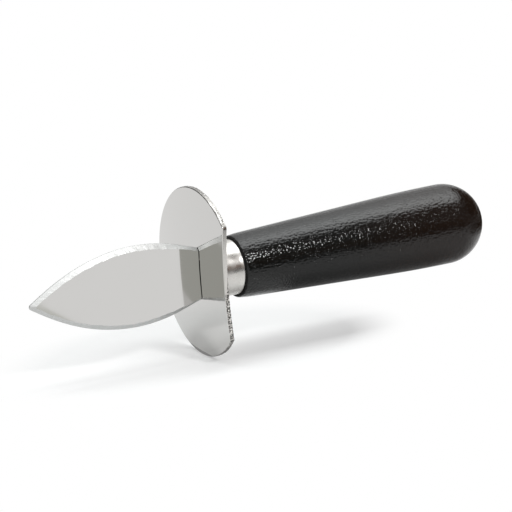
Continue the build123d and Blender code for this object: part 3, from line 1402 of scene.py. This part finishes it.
@dataclass(frozen=True)
class Handle:
    """The turned wooden handle, with its tenon in the ferrule and its drilled bore.

    Attributes:
        film: The lacquer's thickness.
        film_reach: Over what distance from the lip it grows to that.
        coat_reach: Over what distance from its first coated ring the wood's relief sets in.
        butt_reach: Below what radius film and relief fade at the butt's middle.
        grain_depth: How deep the wood's grain shows in the film.
        grain: How the grain runs round the handle and along it.
        pore_depth: How deep the film dips into the pores.
        pores: How the pores are strewn.
        pore_level: Where in that noise a pore starts, and over what range it deepens.
        bare_rows: How many rings of the lip's round are left without lacquer.
        lip_rows: How many rings the lip's round has.
        swell_rows: How many rings the straight swell has, its ends included.
        palm_rows: How many rings the palm's arc has.
        ball_rows: How many rings the ball has.
        columns: How many points go round the handle.
    """

    ferrule: Ferrule
    length: float = 92.7
    diameter: float = 26.2
    lip: float = 1.1
    lip_radius: float = 0.7
    palm_radius: float = 540.0
    tenon_front: float = 2.2
    bore_radius: float = 5.01
    bore_end: float = 62.0
    bore_point: float = 3.01
    film: float = 0.24
    film_reach: float = 4.0
    coat_reach: float = 0.8
    butt_reach: float = 6.0
    grain_depth: float = 0.006
    grain: tuple = (Noise((1.0, 5.0), 41, ring=130), Noise((1.0, 9.0), 43, 0.7, 64))
    pore_depth: float = 0.012
    pores: Noise = Noise((1.0, 1.7), 42, ring=130)
    pore_level: tuple = (0.25, 0.5)
    bare_rows: int = 5
    lip_rows: int = 13
    swell_rows: int = 26
    palm_rows: int = 130
    ball_rows: int = 46
    columns: int = 432

    def profile(self) -> tuple[np.ndarray, int]:
        """The turned outline, from the bore's point round the tenon and over the outside to the butt.

        The outside is the lip's round, a straight swell, a long arc over the palm and a ball at the butt,
        each tangent to the next.

        Returns:
            The profile's x and radius, and the row at which the lacquered outside starts.
        """
        shoulder, butt = self.ferrule.rear, self.ferrule.rear + self.length
        tenon = self.ferrule.diameter / 2 - self.ferrule.wall
        ball = self.diameter / 2
        lip_point = np.array([shoulder, self.ferrule.diameter / 2 + self.lip])
        ball_top = np.array([butt - ball, ball])
        palm_centre = ball_top - np.array([0, self.palm_radius])
        to_lip = lip_point - palm_centre
        off = math.acos(self.palm_radius / math.hypot(*to_lip))
        palm_angle = math.atan2(to_lip[1], to_lip[0]) - off
        palm = arc(palm_centre, self.palm_radius, palm_angle, math.pi / 2, self.palm_rows)
        rise = math.atan2(*(palm[0] - lip_point)[::-1])
        round_centre = (shoulder + self.lip_radius, lip_point[1] + self.lip_reach(rise))
        lip_round = arc(round_centre, self.lip_radius, math.pi, math.pi / 2 + rise, self.lip_rows)
        ball_round = arc((butt - ball, 0), ball, math.pi / 2, 0, self.ball_rows)
        bore_mouth, tenon_edge = (self.tenon_front, self.bore_radius), (self.tenon_front, tenon)
        inside = np.vstack([
            [[self.bore_end + self.bore_point, 0], [self.bore_end, self.bore_radius]],
            straight((self.bore_end, self.bore_radius), bore_mouth, 5)[1:],
            straight(bore_mouth, tenon_edge, 3)[1:],
            straight(tenon_edge, (shoulder, tenon), 3)[1:],
            straight((shoulder, tenon), lip_round[0], 4)[1:-1],
        ])
        swell = straight(lip_round[-1], palm[0], self.swell_rows)[1:-1]
        outside = np.vstack([swell, palm, ball_round[1:]])
        outside[-1, 1] = 0
        return np.vstack([inside, lip_round, outside]), len(inside) + self.bare_rows

    def lip_reach(self, rise: float) -> float:
        """How far the lip's round centre lies outside its corner, r tan(rise) - r / cos(rise)."""
        return self.lip_radius * (math.tan(rise) - 1 / math.cos(rise))

    def surface(self) -> Surface:
        """Turns the profile, and adds the lacquer's film with the wood's grain and pores let into it.

        The film grows from nothing at the lip to its full thickness over a reach. The relief is noise
        stretched along the handle, and pores are where it rises past a level. It is taken off the film, and
        both fade to nothing at the butt's middle.

        Returns:
            The surface.
        """
        profile, coated = self.profile()
        lip_row = coated - self.bare_rows
        angles = np.linspace(0, TURN, self.columns + 1)
        points = revolved(profile, angles)
        travelled = np.cumsum(np.linalg.norm(np.diff(profile, axis=0, prepend=profile[:1]), axis=1))[:, None]
        rows = np.arange(len(profile))[:, None]
        butt_fade = smooth_step(profile[:, 1:] / self.butt_reach)
        coat = (rows >= coated) * smooth_step((travelled - travelled[coated]) / self.coat_reach) * butt_fade
        turns = angles[None, :] / TURN
        level, deepening = self.pore_level
        pores = smooth_step((self.pores.at(turns, travelled) - level) / deepening)
        relief = self.grain_depth * layered(self.grain, turns, travelled) + self.pore_depth * pores
        built = smooth_step((travelled - travelled[lip_row]) / self.film_reach)
        cut = relief * coat - self.film * built * (rows >= lip_row) * butt_fade
        normals = grid_normals(points)
        outward = np.sign(np.sum(normals[len(profile) // 2, 0] * np.array([0, 0, 1.0])))
        points -= normals * outward * cut[..., None]
        points[-1] = [profile[-1, 0], 0, 0]
        points[0] = [profile[0, 0], 0, 0]
        region = np.full((points.shape[0] - 1, points.shape[1] - 1), Region.FACE.value)
        region[:coated] = Region.WORKED.value
        return Surface(points, region)

    def make(self, place: Place) -> bpy.types.Object:
        """Makes the handle, lacquered outside and bare at its front end, its tenon and its bore."""
        finishes = BlackLacquer("black_lacquer"), StainedEndGrain("stained_end_grain")
        return make_piece("handle", self.surface(), place, finishes)


@dataclass(frozen=True)
class TangResin:
    """The cured resin round the tang. The handle hides it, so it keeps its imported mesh.

    Attributes:
        node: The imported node's name.
    """

    node: str = "tang_resin"

    def dress(self) -> bpy.types.Object:
        """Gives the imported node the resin's finish.

        Returns:
            The node's object.
        """
        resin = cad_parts[self.node]
        resin.data.materials.clear()
        resin.data.materials.append(CastResin("cured_epoxy").material())
        return resin


# The studio


@dataclass(frozen=True)
class Lamp:
    """A soft studio lamp.

    Attributes:
        name: The lamp's name.
        place: Its centre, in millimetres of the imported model's frame.
        size: Its two sides, in millimetres.
        brightness: The radiance of its face, where a white surface in plain light shows 1.
        aim: The point that it faces, in millimetres.
        tint: Its colour.
    """

    name: str
    place: tuple
    size: tuple
    brightness: float
    aim: tuple
    tint: str = "#FFFFFF"

    def make(self) -> bpy.types.Object:
        """Makes the lamp. Its power is pi times its face's area times its brightness.

        Returns:
            The lamp.
        """
        light = bpy.data.lights.new(self.name, "AREA")
        light.shape = "RECTANGLE"
        light.color = to_linear(self.tint)[:3]
        light.size, light.size_y = (side * MM for side in self.size)
        light.energy = math.pi * light.size * light.size_y * self.brightness
        lamp = add_object(self.name, light)
        lamp.location = Vector(self.place) * MM
        lamp.rotation_euler = (Vector(self.aim) * MM - lamp.location).to_track_quat("-Z", "Y").to_euler()
        lamp.visible_camera = False
        return lamp


@dataclass(frozen=True)
class Card:
    """A painted reflection: a sheet that glows in its colour in the studio, which only mirrors show.

    Attributes:
        name: The card's name.
        colour: Its colour.
    """

    name: str
    colour: str

    def points(self) -> np.ndarray:
        """The card's grid of points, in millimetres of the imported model's frame."""
        raise NotImplementedError

    def paint(self, tree: bpy.types.NodeTree) -> tuple | bpy.types.NodeSocket:
        """The card's colour, for its material's node tree."""
        return to_linear(self.colour)

    def make(self) -> bpy.types.Object:
        """Makes the card, which glows in its colour and lights nothing.

        Returns:
            The card.
        """
        points = self.points() * MM
        mesh = bpy.data.meshes.new(self.name)
        mesh.from_pydata(points.reshape(-1, 3), [], grid_faces(*points.shape[:2]))
        reflection_glow = bpy.data.materials.new(f"{self.name}_cloth")
        tree = empty_tree(reflection_glow)
        glow = add_node(tree, "Emission", {"Color": self.paint(tree), "Strength": 1.0})
        add_node(tree, "OutputMaterial", {"Surface": glow})
        reflection_glow.cycles.emission_sampling = "NONE"
        mesh.materials.append(reflection_glow)
        shown = add_object(self.name, mesh)
        shown.visible_camera = False
        shown.visible_diffuse = False
        shown.visible_shadow = False
        return shown


@dataclass(frozen=True)
class Panel(Card):
    """A flat card: the parallelogram of points corner + u * along + v * up, with u and v from 0 to 1.

    Attributes:
        corner: One corner, in millimetres.
        along: The edge from there one way, in millimetres.
        up: The edge from there the other way, in millimetres.
        second: The colour that it turns to, where it turns.
        turns: The axis, start and end, in millimetres, of each stretch over which it turns.
    """

    corner: tuple
    along: tuple
    up: tuple
    second: str = ""
    turns: tuple = ()

    def points(self) -> np.ndarray:
        """The panel's grid of points, three each way.

        Returns:
            The grid.
        """
        share = np.linspace(0, 1, 3)
        sides = share[:, None, None] * np.array(self.along), share[None, :, None] * np.array(self.up)
        return np.array(self.corner) + sides[0] + sides[1]

    def paint(self, tree: bpy.types.NodeTree) -> tuple | bpy.types.NodeSocket:
        """The panel's colour, which turns to the second one by the product of its turns.

        Args:
            tree: The material's node tree.

        Returns:
            The colour.
        """
        if not self.turns:
            return to_linear(self.colour)
        axes = add_node(tree, "SeparateXYZ", (add_node(tree, "TexCoord").outputs["Object"],))
        share = 1.0
        for axis, start, end in self.turns:
            turn = add_node(tree, "MapRange", (axes.outputs[axis], start * MM, end * MM, 0.0, 1.0), **EASED)
            share = add_node(tree, "Math", (turn, share), operation="MULTIPLY")
        colours = {SHARE: share, FIRST: to_linear(self.colour), SECOND: to_linear(self.second)}
        return add_node(tree, "Mix", colours, **COLOURS).outputs[MIXED]


@dataclass(frozen=True)
class Screen(Card):
    """A card bent round the knife: a band of an upright cylinder, (r cos a, r sin a, z).

    Attributes:
        radius: The cylinder's radius, in millimetres.
        sweep: The first and the last angle, in degrees.
        edges: The lower and the upper edge, in millimetres.
    """

    radius: float
    sweep: tuple
    edges: tuple

    def points(self) -> np.ndarray:
        """The screen's grid of points, twelve up and sixty round.

        Returns:
            The grid.
        """
        angle = np.radians(np.linspace(*self.sweep, 60))[None, :]
        z = np.linspace(*self.edges, 12)[:, None]
        sides = self.radius * np.cos(angle), self.radius * np.sin(angle), z
        return np.stack(np.broadcast_arrays(*sides), axis=-1)


@dataclass(frozen=True)
class Studio:
    """A white table under a large softbox, with a small lamp in front and painted reflections: cards that
    mirrors show.

    A second, brighter softbox hangs just under the front half of the large one.

    Attributes:
        place: Where the knife lies.
        fill: How brightly the white surroundings light the knife.
        floor_colour: The table's colour.
        floor_reach: How far the table reaches from the origin, in millimetres.
        shadow_lift: How far a painted white glow lifts the table's shadow towards white for the camera.
        mirror_lift: How far mirrors see it lifted.
        shadow_middle: X and Y of the middle of the shadow's place on the table, in millimetres.
        shadow_squeeze: How much shorter that place is along Y than along X.
        shadow_reach: How far from its middle the table starts to turn plain white, in millimetres.
        white_reach: How far from there it is plain white, in millimetres.
    """

    place: Place
    fill: float = 0.2
    floor_colour: str = "#FAFAFA"
    floor_reach: float = 4000.0
    shadow_lift: float = 0.37
    mirror_lift: float = 0.15
    shadow_middle: tuple = (2.0, 26.5)
    shadow_squeeze: float = 1.45
    shadow_reach: float = 38.0
    white_reach: float = 74.0
    lamps: tuple = (
        Lamp("softbox", (125, 161, 550), (910, 571), 1.2, (125, 161, 0), "#FCFFFF"),
        Lamp("softbox_front", (175, 18.5, 549), (810, 286), 2.5, (175, 18.5, 0), "#FCFFFF"),
        Lamp("small_lamp", (128, -554, 425), (86, 86), 84.0, (20, 16.5, 0)),
    )
    # Painted reflections: each card is a glowing sheet that only mirrors show. The grey, dark and brownish
    # ones stand in for the room round the knife, and the darker ones on the table paint the shadows that the
    # guard's foot and the handle cast there.
    cards: tuple = (
        Panel("grey_card", "#DFE0DB", (-115, -165, -27), (97, 0, 0), (0, 136, 0)),
        Panel("contact_shade", "#9C9C9C", (-0.5, 5, -28.2), (9, 0, 0), (0, 38, 0)),
        # Painted shadow: a painted reflection of the handle's shadow, which mirrors see darkening the table
        # under and behind the handle.
        Panel(
            "handle_shadow_reflection", "#EBEBEB", (36, -62, -27), (89, 0, 0), (0, 202, 0), "#838383",
            (("Y", -22, 12), ("X", 118, 92)),
        ),
        Panel(
            "side_card", "#FFFFFF", (135, -60, -27), (285, 0, 0), (0, 250, 0), "#3A2F28", (("X", 140, 175),)
        ),
        Panel(
            "far_card", "#FFFFFF", (120, 190, -27), (400, 0, 0), (0, 300, 0), "#BDBDBD", (("X", 130, 200),)
        ),
        Panel("dark_wall", "#59595A", (10, -150, -28), (500, 0, 0), (0, 0, 88), "#6E5645", (("Z", 8, 26),)),
        Screen("grey_screen", "#7A7370", 760, (-85, 15), (200, 1200)),
        Screen("dim_room", "#5C5C5B", 900, (98, 170), (-28, 1050)),
        Screen("back_room", "#E0E0E0", 880, (42, 90), (-28, 500)),
        Screen("right_room", "#4A3C33", 600, (-25, 40), (-28, 400)),
    )

    def background_rays(self, tree: bpy.types.NodeTree) -> bpy.types.Node:
        """One where the camera, a mirror or glass looks, and zero for other light.

        Args:
            tree: The node tree.

        Returns:
            The node that gives it.
        """
        rays = add_node(tree, "LightPath").outputs
        seen = add_node(tree, "Math", (rays["Is Camera Ray"], rays["Is Glossy Ray"]), operation="MAXIMUM")
        return add_node(tree, "Math", (seen, rays["Is Transmission Ray"]), operation="MAXIMUM")

    def make_world(self) -> bpy.types.World:
        """Makes the white surroundings, which light the knife more softly than they look.

        Returns:
            The world.
        """
        world = bpy.data.worlds.new("studio")
        tree = empty_tree(world)
        white = to_linear("#FFFFFF")
        lit, shown = (
            add_node(tree, "Background", {"Color": white, "Strength": strength})
            for strength in (self.fill, 1.0)
        )
        mixed = add_node(tree, "MixShader", (self.background_rays(tree), lit, shown))
        add_node(tree, "OutputWorld", {"Surface": mixed})
        world.cycles.sampling_method = "NONE"
        bpy.context.scene.world = world
        return world

    def table_paint(self) -> bpy.types.Material:
        """Makes the white table's paint.

        It keeps the knife's shadow, which the camera and mirrors see lifted towards white by painted light, a
        white glow mixed in. With the distance from the shadow's middle that glow eases it to plain white for
        both, so that away from its middle the shadow is painted out.

        Returns:
            The material.
        """
        paint = bpy.data.materials.new("white_table")
        tree = empty_tree(paint)
        place = add_node(tree, "TexCoord").outputs["Object"]
        middle = tuple(side * MM for side in (*self.shadow_middle, self.place.floor))
        off = add_node(tree, "VectorMath", (place, middle), operation="SUBTRACT")
        squeezed = add_node(tree, "VectorMath", (off, (1.0, self.shadow_squeeze, 1.0)), operation="MULTIPLY")
        away = add_node(tree, "VectorMath", (squeezed,), operation="LENGTH").outputs["Value"]
        reach = self.shadow_reach * MM, self.white_reach * MM
        far = add_node(tree, "MapRange", (away, *reach, 0.0, 1.0), **EASED)
        rays = add_node(tree, "LightPath").outputs
        camera = rays["Is Camera Ray"]
        mirrored = add_node(
            tree, "Math", (rays["Is Glossy Ray"], rays["Is Transmission Ray"]), operation="MAXIMUM"
        )
        # Painted light: a white glow mixed over the table's shadow, for the camera by the shadow lift and for
        # mirrors by the mirror lift, and in full away from the shadow's middle.
        own = add_node(tree, "Math", (mirrored, self.mirror_lift), operation="MULTIPLY")
        lift = add_node(tree, "Math", (camera, self.shadow_lift, own), operation="MULTIPLY_ADD")
        lifted = add_node(tree, "Math", (far, lift), operation="MAXIMUM")
        seen = add_node(tree, "Math", (camera, mirrored), operation="MAXIMUM")
        share = add_node(tree, "Math", (lifted, seen), operation="MULTIPLY")
        matt = add_node(tree, "BsdfDiffuse", {"Color": to_linear(self.floor_colour)})
        white = add_node(tree, "Emission", {"Color": to_linear("#FFFFFF"), "Strength": 1.0})
        add_node(tree, "OutputMaterial", {"Surface": add_node(tree, "MixShader", (share, matt, white))})
        paint.cycles.emission_sampling = "NONE"
        return paint

    def make_floor(self) -> bpy.types.Object:
        """Makes the white table, a square at the height of the guard's lowest point.

        Returns:
            The table.
        """
        reach = self.floor_reach
        corners = np.array([[-reach, -reach], [reach, -reach], [reach, reach], [-reach, reach]])
        mesh = bpy.data.meshes.new("floor")
        mesh.from_pydata(np.column_stack([corners, np.full(4, self.place.floor)]) * MM, [], [(0, 1, 2, 3)])
        mesh.materials.append(self.table_paint())
        floor = add_object("floor", mesh)
        return floor

    def make(self) -> None:
        """Makes the surroundings, the table, the cards and the lamps."""
        self.make_world()
        self.make_floor()
        for thing in (*self.cards, *self.lamps):
            thing.make()


@dataclass(frozen=True)
class Camera:
    """The photograph's camera.

    Attributes:
        aim: The point at the middle of the picture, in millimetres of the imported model's frame.
        distance: From the camera to that point, in millimetres.
        heading: The angle from the X axis to the way it looks, seen from above, in degrees.
        dip: How far it looks down, in degrees.
        roll: How far the picture is turned about its middle, in degrees.
        sensor: The sensor's width, in millimetres.
        lens: Focal length on that sensor, in millimetres.
    """

    aim: tuple = (11.76, 1.05, 6.56)
    distance: float = 950.0
    heading: float = 62.25
    dip: float = 14.86
    roll: float = -3.78
    sensor: float = 36.0
    lens: float = 210.94

    def make(self) -> bpy.types.Object:
        """Makes the camera and gives it to the scene.

        It stands back from its aim along the way it looks, and its axes are that way, the level line across
        it and their cross product, with the last two turned by the roll.

        Returns:
            The camera.
        """
        heading, dip, roll = (math.radians(angle) for angle in (self.heading, self.dip, self.roll))
        look = Vector((math.cos(dip) * math.cos(heading), math.cos(dip) * math.sin(heading), -math.sin(dip)))
        level = look.cross(Vector((0, 0, 1))).normalized()
        rise = level.cross(look)
        right = math.cos(roll) * level + math.sin(roll) * rise
        up = math.cos(roll) * rise - math.sin(roll) * level
        data = bpy.data.cameras.new("camera")
        data.lens = self.lens
        data.sensor_width = self.sensor
        camera = add_object("camera", data)
        turned = Matrix((right, up, -look)).transposed().to_4x4()
        turned.translation = (Vector(self.aim) - look * self.distance) * MM
        camera.matrix_world = turned
        bpy.context.scene.camera = camera
        return camera


def main() -> None:
    """Builds the knife's pieces and the studio."""
    logging.basicConfig(level=logging.INFO, format="%(name)s: %(message)s")
    guard = Guard()
    blade = Blade(guard)
    ferrule = Ferrule(guard)
    handle = Handle(ferrule)
    place = Place.read(blade.length)
    for part in (blade, guard, ferrule, handle):
        piece = part.make(place)
        log.info("%s: %d faces", piece.name, len(piece.data.polygons))
    resin = TangResin().dress()
    log.info("%s keeps its packed mesh", resin.name)

    Studio(place).make()
    Camera().make()
    bpy.context.scene.view_settings.view_transform = "Standard"


if __name__ == "__main__":
    main()
